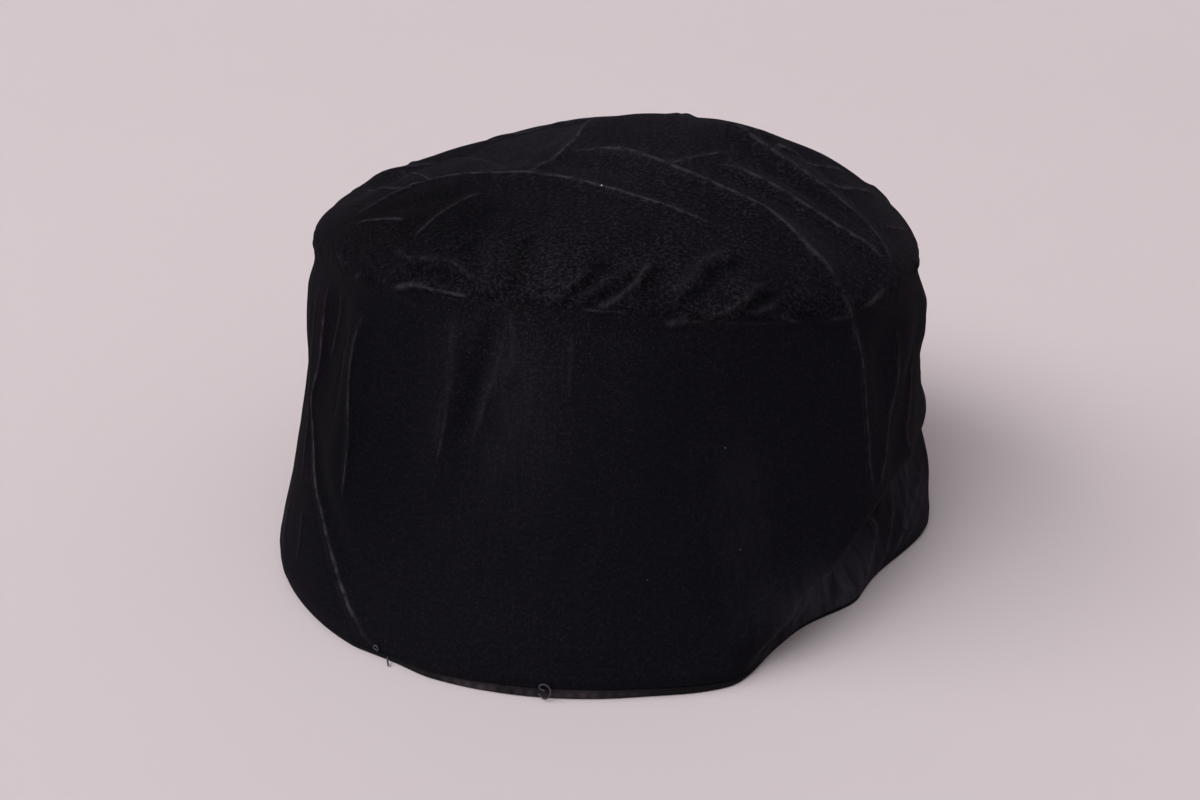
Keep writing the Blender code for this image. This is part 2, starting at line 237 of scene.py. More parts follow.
# Gathers at the seam, as azimuths and millimetres above it, where a place below it lies on the band
SEAM_GATHERS = (
    (((-137, 10), (-132, 7), (-126, 8), (-120, 7.5), (-114, 3.6)), 0.9, 0.22, 2.4, 0.8),
    (((-130, 4.4), (-124, 4.6), (-117, 3.6)), 1.4, 0, 3.2, -0.9),
    (((-133, -0.4), (-129.5, 0.7), (-124, 2)), 1.1, 0.8, 2.2, 0.6),
    (((-127, 1.5), (-121, 1), (-115, 0.6)), 0.6, 0.75, 1.8, 0.6),
    (((-155, 2.4), (-148, 1.9)), 0.8, 0.25, 2, 0.3),
    (((-146, -1.7), (-142, 1.5)), 1, 0.3, 2, 0.4),
    (((-123, 17), (-118, 7.6), (-115, 1.2)), 1.4, 0, 4.4, -0.7),
    (((-117, 18), (-113, 7.5), (-112, 1)), 1.4, 0.05, 4, 0.7),
    (((-110, 23), (-108, 12), (-107, 4.4), (-108, 0.8)), 1.4, 0, 4.4, -0.9),
    (((-101, 20), (-100, 9.3), (-101, 2)), 1.4, 0.05, 4.4, 0.6),
    (((-99, 1.2), (-95, 5.7), (-92, 11), (-88, 15.5)), 1.4, 0, 3.6, -0.9),
    (((-101, 1.4), (-98, 3.8), (-95, 8.8), (-93, 12)), 1, 0.16, 2.6, 1),
    (((-95, 0.5), (-92, 2.9), (-87, 8), (-84, 13.6)), 1.2, 0, 2.2, -1.1),
    (((-93, 0.2), (-91, 1.4), (-88, 3.7), (-85, 7.8), (-83, 11.7), (-81, 15.4)), 1, 0.36, 2.2, 0.9),
    (((-96, 2), (-93, 4.8), (-89, 10.5)), 1, 0.12, 2, 0.6),
    (((-79, 15), (-82, 8.5), (-85, 2.6)), 1.4, 0, 3.6, -1),
    (((-80, 3.2), (-75, 9.6), (-70, 15.9), (-62, 19.9)), 2, 0.16, 3.8, 1.1),
    (((-79, 2.7), (-76, 4), (-72, 8.6), (-66, 14.7), (-60, 16.8)), 1.4, 0, 3.8, -0.9),
    (((-75, 0.8), (-71, 1.4), (-67, 3.7), (-63, 7.4), (-60, 8.7)), 1.2, 0.22, 2.6, 0.9),
    (((-67, 1.6), (-63, 4.5), (-59, 7)), 1.2, 0, 2.4, -1),
    (((-66, 1.1), (-63, 2.5), (-59, 4.3)), 1, 0.22, 2, 0.6),
    (((-84, -1), (-71, -0.8), (-58, -0.7)), 0.5, 0.16, 1.4, 0.1),
    (((-96, 0.1), (-91, 0.4), (-86, 0.3)), 0.6, 0.45, 1.2, 0.15),
    (((-61, 0.9), (-55, -0.9)), 0.8, 0.35, 1.8, 0.4),
    (((-81, -1.6), (-78.6, -0.9), (-76, 0.3)), 1.2, 0.95, 2.4, 0.7),
    (((-47, 6), (-45, 1.7), (-44, -1.6), (-43, -9)), 1, 0.45, 2.4, 0.5),
    (((-50, -0.6), (-43, -0.8)), 0.9, 0.4, 2, 0.3),
    (((-42, 0), (-38, 1.2), (-33, 2.6)), 1.2, 0.8, 2.4, 0.7),
    (((-17, 2.5), (-11, -1.4)), 1.3, 0.8, 2.4, 0.6),
    (((-108, -0.6), (-107, -9.5), (-108.5, -19)), 1.6, 0.1, 3.4, 0.6),
)

# Puckers that the seam's stitches draw up, worked out by a loop. Lengths are in millimetres.
Puckers = namedtuple("Puckers", "count start end reach width height lean paleness seed")
PUCKERS = (
    Puckers(96, -180, 180, (2.5, 9), (1, 2.2), (0.1, 0.34), 7, 0.1, 11),
    Puckers(19, 14, 174, (7, 19), (2.6, 4.6), (0.45, 1.05), 11, 0.5, 23),
)
PUCKER_SHIFT = 0.4
PUCKER_BELOW = (0.3, 1.0)
PUCKER_LINE = 0.8

# Slack in the cloth: the size of its waves and how far they stand out
CLOTH_WAVES = ((0.034, 0.0003), (0.011, 0.00014), (0.005, 0.00006))

# Soft patches of painted glint, sheen, light and shade on the pile: azimuth, half width, height, half height
# and strength. Heights are millimetres above the seam, and for the brushed sheen shares of the band's height.

# Painted glints and warm sheen, where single fibres catch the light
GLITTER = (
    (-109, 17, 11, 15, 0.5),
    (-90, 20, 12, 15, 0.5),
    (-149, 11, 9, 9, 0.55),
    (-67, 8, 6, 6, 0.7),
    (-73, 7, 1, 5, 0.7),
    (-98, 56, 8, 26, 0.28),
    (-105, 26, -8, 18, 0.42),
    (-112, 34, -22, 26, 0.22),
    (85, 100, 10, 22, 0.5),
)

# Painted sheen where the band's pile lies brushed and looks lighter
BRUSHED_PAINTED_SHEEN = (
    (-44, 26, 0.06, 0.28, 1),
    (-12, 14, 0.2, 0.32, 0.5),
    (-171, 16, 0.14, 0.24, 0.25),
    (-106, 12, 0.74, 0.36, 0.1),
    (-68, 7, 0.45, 0.42, 0.1),
    (48, 24, 0.12, 0.26, 0.35),
    (128, 26, 0.14, 0.3, 0.35),
)

# Painted light on the crown's top, where its pile lies lightly brushed
CROWN_TOP_PAINTED_LIGHT = ((-60, 400, 86, 56, 0.075),)

# Where the pile stands up and looks deeper: painted shade on the cap's left side
UPRIGHT_PAINTED_SHADE = ((-152, 50, -35, 80, 0.95), (-145, 45, 26, 30, 0.85))

# How finely the sheets are joined and their edges curl
WELD_DISTANCE = 0.000001
CROWN_EDGE_SHARE = 0.035

# The hem: the corners of its folded strip, and how much of the slack waves it takes
HEM_TURN = 4.5
HEM_TURN_UNDER = 0.0007
HEM_TUCK = 0.0003
HEM_CORNER_ROWS = 5
HEM_WAVES = 0.4

# Colours of the velvet's ground and lighter nap, its painted sheen where the pile lies brushed, its painted
# warm sheen and painted glints where fibres catch the light, and its pale lines of crushed pile with painted
# sheen
# The crown's colours: a lighter copy of the band's, painted light on the crown
CROWN_DEEP_PAINTED_LIGHT = (0.0038, 0.0033, 0.0053)
CROWN_LIT_PAINTED_LIGHT = (0.0205, 0.0183, 0.0245)
BAND_DEEP = (0.0051, 0.0047, 0.007)
BAND_LIT = (0.01, 0.0091, 0.0129)
BRUSHED_PILE_PAINTED_SHEEN = (0.037, 0.034, 0.0445)
WARM_PAINTED_SHEEN = (0.018, 0.0158, 0.016)
GLINT = (0.042, 0.0375, 0.0415)
PALE_LINE_SHEEN = (0.04, 0.0365, 0.044)
# Painted shade in the folds' valleys and painted light on their ridges, by the relief's height
FOLD_DEPTH = 0.9
FOLD_PAINTED_SHADE_AND_LIGHT = (0.74, 1.28)
# Painted shade where the pile stands upright
UPRIGHT_SHADE_TONE = 0.5
GLINT_EVERYWHERE = 0.3

# Noise in the cloth: its scale per metre, its detail and its roughness
NAP_PATCHES = (90.0, 4, 0.6)
NAP_STREAKS = (420.0, 2, 0.5)
PILE_CLUMPS = (950.0, 3, 0.75)
PILE_TUFTS = (1500.0, 2, 0.5)
LINE_SWAY = (160.0, 3, 0.5)
LINE_BREAKS = (320.0, 3, 0.5)
CLOTH_WEAR = (120.0, 4, 0.65)
LOOSE_MOTTLE = (900.0, 4, 0.6)
FLOOR_MOTTLE = (3.0, 4, 0.6)

# Ranges of such values, each followed by the range that it is brought to
NAP_RANGE = (0.35, 0.68, 0.55, 1.0)
STREAK_RANGE = (0.35, 0.65, 0.6, 1.0)
CLUMP_RANGE = (0.44, 0.7, 0.0, 1.0)
WARM_SHEEN_RANGE = (0.35, 0.65, 0.3, 1.0)
LAID_SHEEN_RANGE = (0.3, 0.65, 0.35, 1.0)
TUFT_RANGE = (0.5, 0.68, 0.0, 1.0)
FIBRE_RANGE = (0.15, 0.55, 1.0, 0.0)
CORE_RANGE = (0.0, 1.0, 1.0, 0.0)
BREAK_RANGE = (0.34, 0.62, 0.2, 1.0)
WEAR_RANGE = (0.35, 0.7, 0.2, 1.0)
WEAVE_RANGE = (0.0, 0.8, 0.45, 1.0)

NAP_STRETCH = (1.0, 0.22, 1.0)
PILE_FIBRES = 2300.0
FIBRE_SHARE = 0.5
PILE_BUMP = 0.8
PILE_DEPTH = 0.0003
LINE_SWAY_REACH = 1.5

# Sheen: its weight, its roughness and its tint
VELVET_SHEEN = (0.018, 0.35, (0.92, 0.88, 1.0))
CLOTH_SHEEN = (0.015, 0.5, (0.92, 0.88, 1.0))
NO_SHEEN = (0.0, 0.5, (1.0, 1.0, 1.0))
CLOTH_ROUGHNESS = 1.0
VELVET_SPECULAR = 0.02
CLOTH_SPECULAR = 0.08
PLAIN_SPECULAR = 0.2
MOTTLE_TONE = 0.96

# Woven cloth of the velvet's back and of the hem
BACKING_DEEP = (0.007, 0.0066, 0.0076)
BACKING_LIT = (0.012, 0.0114, 0.0128)
BACKING_THREADS = 1800.0
HEM_DEEP = (0.0066, 0.006, 0.007)
HEM_LIT = (0.0575, 0.045, 0.054)
HEM_THREADS = 2200.0
WEAVE_BUMP = 0.6
WEAVE_DEPTH = 0.0002
WAVE_TURN = 0.314

# The part of the hem that shows its face: azimuths at its ends and where it is full
STRIP_SEEN = (-122, -108, -97, -79)

# Loose threads at the hem
THREAD_COLOUR = (0.05, 0.047, 0.055)
THREAD_ROUGHNESS = 0.8
THREAD_THICKNESS = 0.0004
THREAD_ROUNDNESS = 2
THREAD_STEPS = 8
THREADS = (
    # name, and for each place the azimuth, the height and how far it stands out
    ("join_thread", (-123.9, 0.0016, 0.0002), (-123.5, 0.0008, 0.0009), (-123.0, 0.0005, 0.0016)),
    (
        "join_knot",
        (-125.9, 0.0022, 0.0002), (-125.4, 0.0032, 0.0006), (-125.9, 0.0038, 0.0005),
        (-126.3, 0.003, 0.0004), (-125.7, 0.0026, 0.0006),
    ),
    (
        "curled_thread",
        (-99.8, 0.0018, 0.0005), (-98.9, 0.001, 0.0011), (-98.1, 0.0021, 0.0011), (-98.3, 0.004, 0.0009),
        (-99.2, 0.0046, 0.0008), (-99.6, 0.0036, 0.0007), (-98.9, 0.0029, 0.0008),
    ),
)

# Specks of lint: the azimuth, the share of the way up the crown or the band, and the half width
LINT_COLOUR = (0.55, 0.53, 0.56)
FLECK_COLOUR = (0.04, 0.037, 0.044)
LINT_ROUGHNESS = 0.9
LINT_ROUNDNESS = 2
LINT_UNEVENNESS = 0.3
CROWN_LINT = (-93.0, 0.7, 0.00034)
BAND_FLECKS = ((-70.8, 0.655, 0.00024), (-69.3, 0.375, 0.00022), (-84.2, 0.318, 0.0002))

# The pale sweep that the cap stands on
FLOOR_COLOUR = (0.668, 0.59, 0.613)
FLOOR_ROUGHNESS = 0.9
SWEEP_REACH = 16.0
SWEEP_BACK = 1.6
SWEEP_RADIUS = 1.0
SWEEP_TOP = 3.0
SWEEP_ROWS = 24

# Soft studio light
WORLD_COLOUR = (1.0, 1.0, 1.0)
WORLD_STRENGTH = 0.15
FAR_LAMPS = (
    # name, azimuth, elevation, width, strength
    ("key light", -128, 47, 34, 1.40),
    ("left light", -172, 41, 40, 0.80),
    ("fill light", -40, 42, 80, 0.34),
    ("top light", -90, 72, 60, 0.40),
)
FAR_LAMP_STAND = 1.0
# name, azimuth, elevation, distance, side, watts
NEAR_LAMP = ("side light", -165, 42, 1.6, 1.0, 4.0)

# Camera, as it stands to the cap in the photograph
LENS = 45
CAMERA_ELEVATION = 24
CAMERA_DISTANCE = 0.418
CAMERA_AIM = Vector((-0.002, 0.007, 0.0302))


def smooth_step(value):
    """Rises from 0 to 1 with level ends."""
    value = np.clip(value, 0.0, 1.0)
    return value * value * (3 - 2 * value)


def bump(value, power=2):
    """A soft hump: 1 at 0, and 0 from 1 on either side."""
    return np.clip(1 - np.abs(value) ** power, 0.0, None) ** 2


def curve_through(rows, column, at):
    """The smooth curve through one column of a table, read at values of its first column."""
    table = np.array(rows, float)
    index = np.clip(np.searchsorted(table[:, 0], at) - 1, 1, len(rows) - 3)
    before, start, end, after = (table[index + step] for step in (-1, 0, 1, 2))
    span = end[..., 0] - start[..., 0]
    share = np.clip((at - start[..., 0]) / span, 0.0, 1.0)
    slope_in = (end[..., column] - before[..., column]) / (end[..., 0] - before[..., 0]) * span
    slope_out = (after[..., column] - start[..., column]) / (after[..., 0] - start[..., 0]) * span
    rise = smooth_step(share)
    return (
        start[..., column] * (1 - rise)
        + end[..., column] * rise
        + slope_in * share * (1 - share) ** 2
        - slope_out * share * share * (1 - share)
    )


def shifted(row, turn):
    return (row[0] + turn, *row[1:])


ROUND_PLAN = (
    shifted(PLAN[-2], -360),
    shifted(PLAN[-1], -360),
    *PLAN,
    shifted(PLAN[0], 360),
    shifted(PLAN[1], 360),
)
LEAN_CURVE = (shifted(LEAN[0], -LEAN_EASE), *LEAN, shifted(LEAN[-1], LEAN_EASE))


def wrap(azimuth):
    """The same direction between -180 and 180."""
    return (azimuth + 180) % 360 - 180


def plan(azimuth, column):
    return curve_through(ROUND_PLAN, column, wrap(azimuth))


def ellipse_reach(azimuth, width, length):
    turn = np.radians(azimuth)
    return 0.5 / np.hypot(np.cos(turn) / width, np.sin(turn) / length)


def rim_reach(azimuth):
    return ellipse_reach(azimuth, RIM_WIDTH, RIM_LENGTH) * plan(azimuth, RIM_REACH)


def seam_reach(azimuth):
    return ellipse_reach(azimuth, SEAM_WIDTH, SEAM_LENGTH) * plan(azimuth, SEAM_REACH)


def seam_height(azimuth):
    return BAND_HEIGHT * plan(azimuth, SEAM_HEIGHT)


def lip_height(azimuth):
    return HEM_LIP * plan(azimuth, LIP)


def band_fold_depth(azimuth, height):
    """How far the folds push the band out at an azimuth and a share of its height."""
    depth = 0.0
    for hem_azimuth, seam_azimuth, low, high, half_width, fold_depth in BAND_FOLDS:
        along = (height - low) / (high - low)
        middle = hem_azimuth + (seam_azimuth - hem_azimuth) * height
        across = wrap(azimuth - middle) / half_width
        depth = depth + fold_depth * bump(across) * bump(2 * along - 1, LONG_FOLD)
    return depth * RIM_WIDTH / 2


def slack_reach(azimuth, height):
    """The outer reach of the band's slack cloth, between the upright edges that the hem and the seam hold."""
    full = seam_height(azimuth)
    height = np.clip((height * full - HEM_UPRIGHT) / (full - HEM_UPRIGHT - SEAM_UPRIGHT), 0.0, 1.0)
    lean = curve_through(LEAN_CURVE, 1, height)
    free = 1 - smooth_step((height - FOLDS_FADE_FROM) / (1 - FOLDS_FADE_FROM))
    reach = rim_reach(azimuth) * (1 - lean) + seam_reach(azimuth) * lean
    return reach + band_fold_depth(azimuth, height) * free


def band_reach(azimuth, height):
    """The band's outer reach, from 0 at the floor to 1 at the seam, straight behind the hem's flap."""
    low = HEM_UPRIGHT / seam_height(azimuth)
    high = HEM_FLAP / seam_height(azimuth)
    share = (height - low) / (high - low)
    straight = slack_reach(azimuth, low) * (1 - share) + slack_reach(azimuth, high) * share
    return np.where((share > 0) & (share < 1), straight, slack_reach(azimuth, height))


def band_points(azimuth, height):
    turn = np.radians(azimuth)
    reach = band_reach(azimuth, height)
    return np.stack((reach * np.cos(turn), reach * np.sin(turn), seam_height(azimuth) * height), axis=-1)


def crown_fold_height(x, y):
    """How far the folds lift the crown at places given in shares of the seam's half width and half length."""
    height = 0.0
    for from_x, from_y, to_x, to_y, bow, half_width, fold_height in CROWN_FOLDS:
        run_x, run_y = to_x - from_x, to_y - from_y
        away_x, away_y = x - from_x, y - from_y
        length = math.hypot(run_x, run_y)
        along = (away_x * run_x + away_y * run_y) / length**2
        aside = (run_x * away_y - run_y * away_x) / length - bow * length * 4 * along * (1 - along)
        height = height + fold_height * bump(aside / half_width) * bump(2 * along - 1, LONG_FOLD)
    return height * CROWN_RISE


def crown_points(azimuth, rise):
    """The crown's outer face, from 0 at the seam to 1 at its middle."""
    turn = np.radians(azimuth)
    shoulder = plan(azimuth, SHOULDER)
    arc = np.minimum(rise, 1.0) * math.pi / 2
    share = np.clip(np.cos(arc), 0.0, 1.0) ** (2 / shoulder)
    lift = np.sin(arc) ** (2 / shoulder)
    reach = seam_reach(azimuth) * share + CROWN_OVERHANG * bump(2 * rise / OVERHANG_SPAN - 1)
    reach = np.where(rise < 1, reach, 0.0)
    x = reach * np.cos(turn)
    y = reach * np.sin(turn)
    folds = crown_fold_height(x / (SEAM_WIDTH / 2), y / (SEAM_LENGTH / 2))
    z = seam_height(azimuth) * (1 - lift) + (BAND_HEIGHT + CROWN_RISE) * lift + folds * lift
    return np.stack((x, y, z), axis=-1)


# The cross product below which a point has no direction of its own
NO_DIRECTION = 1e-14


def outward(points):
    """The direction square to a sheet of points whose columns close on themselves."""
    round_way = np.roll(points, -1, axis=1) - np.roll(points, 1, axis=1)
    up_way = np.gradient(points, axis=0)
    square = np.cross(round_way, up_way)
    length = norm(square, axis=-1, keepdims=True)
    return np.where(length > NO_DIRECTION, square / np.maximum(length, NO_DIRECTION), (0.0, 0.0, 1.0))


def up_length(points):
    """How far each point lies from the first row, measured along its column."""
    steps = norm(np.diff(points, axis=0), axis=-1)
    return np.concatenate((np.zeros((1, points.shape[1])), np.cumsum(steps, axis=0)))


def smooth_line(through, samples=12):
    """Points close together on the smooth line through a few places."""
    ends = [2 * through[0] - through[1], *through, 2 * through[-1] - through[-2]]
    share = np.linspace(0, 1, samples, endpoint=False)[:, None]
    line = []
    for before, start, end, after in zip(ends, ends[1:], ends[2:], ends[3:]):
        slope_in = (end - before) / 2
        slope_out = (after - start) / 2
        rise = smooth_step(share)
        eased = slope_in * share * (1 - share) ** 2 - slope_out * share * share * (1 - share)
        line.append(start * (1 - rise) + end * rise + eased)
    return np.concatenate((*line, [through[-1]]))


def along_and_aside(places, line):
    """Each place's share of the way along a line, and its signed distance from it."""
    run = np.diff(line, axis=0)
    length = norm(run, axis=1)
    passed = np.concatenate(([0.0], np.cumsum(length)))
    away = places[:, None] - line[:-1]
    share = np.clip((away * run).sum(axis=2) / length**2, 0, 1)
    distance = norm(away - share[..., None] * run, axis=2)
    nearest = distance.argmin(axis=1)
    each = np.arange(len(places))
    side = run[nearest, 0] * away[each, nearest, 1] - run[nearest, 1] * away[each, nearest, 0]
    along = (passed[nearest] + share[each, nearest] * length[nearest]) / passed[-1]
    return along, np.where(side < 0, -1, 1) * distance[each, nearest]


# How a crease starts and ends along its line, and how sharp its ridge is
CREASE_FADE = 0.16
SHORT_FADE = 0.0035
CREST = 1.35
# The distance from a pale line's middle, in its half widths, out to which the line is kept
LINE_KEPT = (1.6, 2.6)
FAR = 9.0


class CreaseField:
    """The relief and the pale lines of crushed pile with painted sheen that creases give to a sheet's points.
    """

    def __init__(self, shape):
        self.relief = np.zeros(shape)
        self.across = np.full(shape, FAR)
        self.pale = np.zeros(shape)

    def add(self, places, line, crease):
        """Lays one crease, whose line is on the same flat pattern as the sheet's places."""
        reach = max(crease.ridge, crease.line * LINE_KEPT[1]) / 1000
        near = ((places > line.min(axis=0) - reach) & (places < line.max(axis=0) + reach)).all(axis=-1)
        if not near.any():
            return
        along, aside = along_and_aside(places[near], line)
        aside *= 1000
        length = norm(np.diff(line, axis=0), axis=1).sum()
        fade = min(max(CREASE_FADE, SHORT_FADE / length), 0.5)
        ends = smooth_step(along / fade) * smooth_step((1 - along) / fade)
        self.relief[near] += crease.height / 1000 * bump(aside / crease.ridge, CREST) * ends
        across = aside / crease.line
        kept = 1 - smooth_step((np.abs(across) - LINE_KEPT[0]) / (LINE_KEPT[1] - LINE_KEPT[0]))
        pale = crease.paleness * ends * kept
        seen = pale * bump(across / LINE_KEPT[1])
        closer = seen > self.pale[near] * bump(self.across[near] / LINE_KEPT[1])
        self.across[near] = np.where(closer, across, self.across[near])
        self.pale[near] = np.where(closer, pale, self.pale[near])


def seam_place(azimuth, above):
    """A place near the seam on the flat pattern, from an azimuth and a length above the seam."""
    return np.stack((np.radians(azimuth) * SEAM_WIDTH / 2, above), axis=-1)


def puckers(rows):
    """Creases drawn up by the seam's stitches over a stretch of it, the same on every run."""
    draw = np.random.default_rng(rows.seed)
    found = []
    for index in range(rows.count):
        place = index + draw.uniform(-PUCKER_SHIFT, PUCKER_SHIFT)
        azimuth = rows.start + (rows.end - rows.start) * place / rows.count
        reach = draw.uniform(*rows.reach)
        lean = draw.normal(0, rows.lean) * reach / rows.reach[1]
        below = -reach * draw.uniform(*PUCKER_BELOW)
        height = draw.uniform(*rows.height) * draw.choice((-1, 1))
        paleness = rows.paleness * draw.random() ** 2 * (height > 0)
        width = draw.uniform(*rows.width)
        through = ((azimuth - lean, below), (azimuth + lean, reach))
        found.append(Crease(through, PUCKER_LINE, paleness, width, height))
    return found


def add_seam_creases(field, places):
    """Lays the seam's gathers and puckers on a sheet, and again a full turn on and back, so none is cut."""
    for crease in (*map(Crease._make, SEAM_GATHERS), *puckers(PUCKERS[0]), *puckers(PUCKERS[1])):
        azimuths, heights = np.array(crease.through, float).T
        for turn in (-360, 0, 360):
            field.add(places, smooth_line(seam_place(azimuths + turn, heights / 1000)), crease)


def patches(rows, azimuth, height):
    """How strong a table's soft patches are at an azimuth and a height."""
    found = 0.0
    for middle, half_width, at_height, half_height, strength in rows:
        across = bump(wrap(azimuth - middle) / half_width)
        found = found + strength * across * bump((height - at_height) / half_height)
    return np.clip(found, 0.0, 1.0)


def strip_seen(azimuth):
    """How much of the hem's face shows as a lighter strip at an azimuth."""
    from_left, left, right, from_right = STRIP_SEEN
    rise = smooth_step((azimuth - from_left) / (left - from_left))
    return rise * smooth_step((from_right - azimuth) / (from_right - right))


def waves(points):
    """How far the cloth's slack waves stand out at each point."""
    flat = points.reshape(-1, 3)
    found = np.zeros(len(flat))
    for size, height in CLOTH_WAVES:
        found += height * np.array([noise.noise(Vector(place)) for place in flat / size])
    return found.reshape(points.shape[:-1])


def rolled(distance):
    """How far an edge curls in at a distance from where the sheet ends."""
    near = np.clip(1 - distance / EDGE_ROLL, 0.0, 1.0)
    return EDGE_ROLL * (1 - np.sqrt(1 - near * near))


def spread_rows(rows, low_edge, high_edge):
    """Shares from 0 to 1 for rows that crowd in the curl of each edge, whose share is given at either end."""
    curl = 1 - np.cos(np.linspace(0, math.pi / 2, EDGE_ROWS + 1))
    low = low_edge * curl
    high = 1 - high_edge * curl[::-1]
    middle = np.linspace(low[-1], high[0], rows - 2 * EDGE_ROWS)
    return np.concatenate((low[:-1], middle, high[1:]))


def face_of(points, cloth, field, pile, material):
    """One face of a piece: its points, their places on the cloth, their crease and pile values, its material.

    The pile's values: painted glint and warm sheen, painted sheen where brushed, painted shade where upright.
    """
    crease = np.stack((field.across, field.pale, field.relief * 1000), axis=-1)
    pile = np.stack(np.broadcast_arrays(*pile, field.pale)[:3], axis=-1)
    return {"points": points, "cloth": cloth, "crease": crease, "pile": pile, "material": material}


def lining_side(points, cloth, wall, material):
    """The back of a sheet: fewer rows of its points, a wall's thickness in, from the last to the first."""
    rows = np.unique(np.append(np.arange(0, len(points), INNER_STEP), len(points) - 1))[::-1]
    back = (points - outward(points) * wall)[rows]
    places = cloth[rows] + (0.0, 0.0, 1.0)
    return face_of(back, places, CreaseField(back.shape[:2]), (1.0, 1.0, 1.0), material)


def at_corners(values, turn, closes):
    """Values at the corners of each quad. The column after the last is the first one, a full turn on."""
    values = np.concatenate((values, values[:, :1] + turn), axis=1)
    if closes:
        values = np.concatenate((values, values[:1]))
    return np.stack((values[:-1, :-1], values[:-1, 1:], values[1:, 1:], values[1:, :-1]), axis=2)


def placed(name, data):
    """A new object in the scene for a mesh, a curve, a lamp or a camera."""
    made = bpy.data.objects.new(name, data)
    bpy.context.scene.collection.objects.link(made)
    return made


def closed_piece(name, faces, poles, turn, materials):
    """One closed mesh from faces of rows that follow each other.

    Columns run round the cap, and turn is the length of cloth once round. The last row joins the first one,
    or, with poles, the first and the last row are each one point.
    """
    points, cloth, crease, pile = (
        np.concatenate([face[key] for face in faces]) for key in ("points", "cloth", "crease", "pile")
    )
    wears = np.concatenate([np.full(len(face["points"]), face["material"]) for face in faces])
    rows, columns = points.shape[:2]
    index = np.arange(rows * columns).reshape(rows, columns)
    if not poles:
        index = np.concatenate((index, index[:1]))
    low, high = index[:-1], index[1:]
    quads = np.stack((low, np.roll(low, -1, axis=1), np.roll(high, -1, axis=1), high), axis=-1)
    mesh = bpy.data.meshes.new(name)
    mesh.from_pydata(points.reshape(-1, 3).tolist(), [], quads.reshape(-1, 4).tolist())
    corners = at_corners(cloth, (turn, 0.0, 0.0), not poles)
    layers = (("cloth", corners, "CORNER"), ("crease", crease, "POINT"), ("pile", pile, "POINT"))
    for key, values, domain in layers:
        layer = mesh.attributes.new(key, "FLOAT_VECTOR", domain)
        layer.data.foreach_set("vector", values.astype(np.float32).ravel())
    for material in materials:
        mesh.materials.append(material)
    mesh.polygons.foreach_set("material_index", np.repeat(wears[: len(quads)], columns))
    welded = bmesh.new()
    welded.from_mesh(mesh)
    bmesh.ops.remove_doubles(welded, verts=welded.verts, dist=WELD_DISTANCE)
    welded.to_mesh(mesh)
    welded.free()
    mesh.shade_smooth()
    return placed(name, mesh)


def round_grid(rows):
    """The azimuths of the columns, and the share of each row at each of them."""
    azimuth = np.linspace(-180, 180, COLUMNS, endpoint=False)
    return np.broadcast_arrays(azimuth, np.asarray(rows)[:, None])


def crown_line(through, azimuth, reach, from_middle):
    """A crease's line on the crown's flat pattern, which keeps azimuths and ways from the middle."""
    places = []
    for x, y in np.array(through) * (SEAM_WIDTH / 2, SEAM_LENGTH / 2):
        turn = math.atan2(y, x)
        column = np.abs(wrap(azimuth[0] - math.degrees(turn))).argmin()
        row = np.abs(reach[:, column] - math.hypot(x, y)).argmin()
        away = from_middle[row, column]
        places.append((away * math.cos(turn), away * math.sin(turn)))
    return smooth_line(np.array(places))


def make_crown(materials):
    azimuth, rise = round_grid(spread_rows(CROWN_ROWS, CROWN_EDGE_SHARE, 0.0))
    base = crown_points(azimuth, rise)
    above = up_length(base)
    from_middle = above[-1] - above
    turn = np.radians(azimuth)
    pattern = np.stack((from_middle * np.cos(turn), from_middle * np.sin(turn)), axis=-1)
    field = CreaseField(base.shape[:2])
    reach = np.hypot(base[..., 0], base[..., 1])
    for crease in map(Crease._make, CROWN_CREASES):
        field.add(pattern, crown_line(crease.through, azimuth, reach, from_middle), crease)
    add_seam_creases(field, seam_place(azimuth, above))
    out = field.relief + waves(base) - rolled(above)
    cloth = np.concatenate((pattern, np.zeros_like(rise)[..., None]), axis=-1)
    # Painted glints and warm sheen, painted light on the top, and painted shade where the pile stands up
    pile = [patches(rows, azimuth, above * 1000) for rows in (GLITTER, CROWN_TOP_PAINTED_LIGHT, UPRIGHT_PAINTED_SHADE)]
    face = face_of(base + outward(base) * out[..., None], cloth, field, pile, 0)
    back = lining_side(base, cloth, CROWN_WALL, 1)
    return closed_piece("crown_velvet", (back, face), True, 0.0, materials)


def make_band(materials):
    azimuth, share = round_grid(spread_rows(BAND_ROWS, EDGE_ROLL / BAND_HEIGHT, EDGE_ROLL / BAND_HEIGHT))
    foot = (lip_height(azimuth) + CLEARANCE) / seam_height(azimuth)
    height = foot + (1 - foot) * share
    base = band_points(azimuth, height)
    above_foot = up_length(base)
    above = above_foot - above_foot[-1]
    field = CreaseField(base.shape[:2])
    round_way = np.radians(azimuth) * RIM_WIDTH / 2
    pattern = np.stack((round_way, height * BAND_HEIGHT), axis=-1)
    for crease in map(Crease._make, BAND_CREASES):
        azimuths, heights = np.array(crease.through, float).T
        through = np.stack((np.radians(azimuths) * RIM_WIDTH / 2, heights * BAND_HEIGHT), axis=-1)
        field.add(pattern, smooth_line(through), crease)
    add_seam_creases(field, seam_place(azimuth, above))
    out = field.relief + waves(base) - rolled(above_foot) - rolled(-above)
    cloth = np.stack((round_way, above_foot, np.zeros_like(share)), axis=-1)
    # Painted glints and warm sheen, painted sheen where the pile lies brushed, and painted shade where it
    # stands up
    pile = (
        patches(GLITTER, azimuth, above * 1000),
        patches(BRUSHED_PAINTED_SHEEN, azimuth, height),
        patches(UPRIGHT_PAINTED_SHADE, azimuth, above * 1000),
    )
    face = face_of(base + outward(base) * out[..., None], cloth, field, pile, 0)
    back = lining_side(base, cloth, BAND_WALL, 1)
    return closed_piece("band_velvet", (face, back), False, math.pi * RIM_WIDTH, materials)


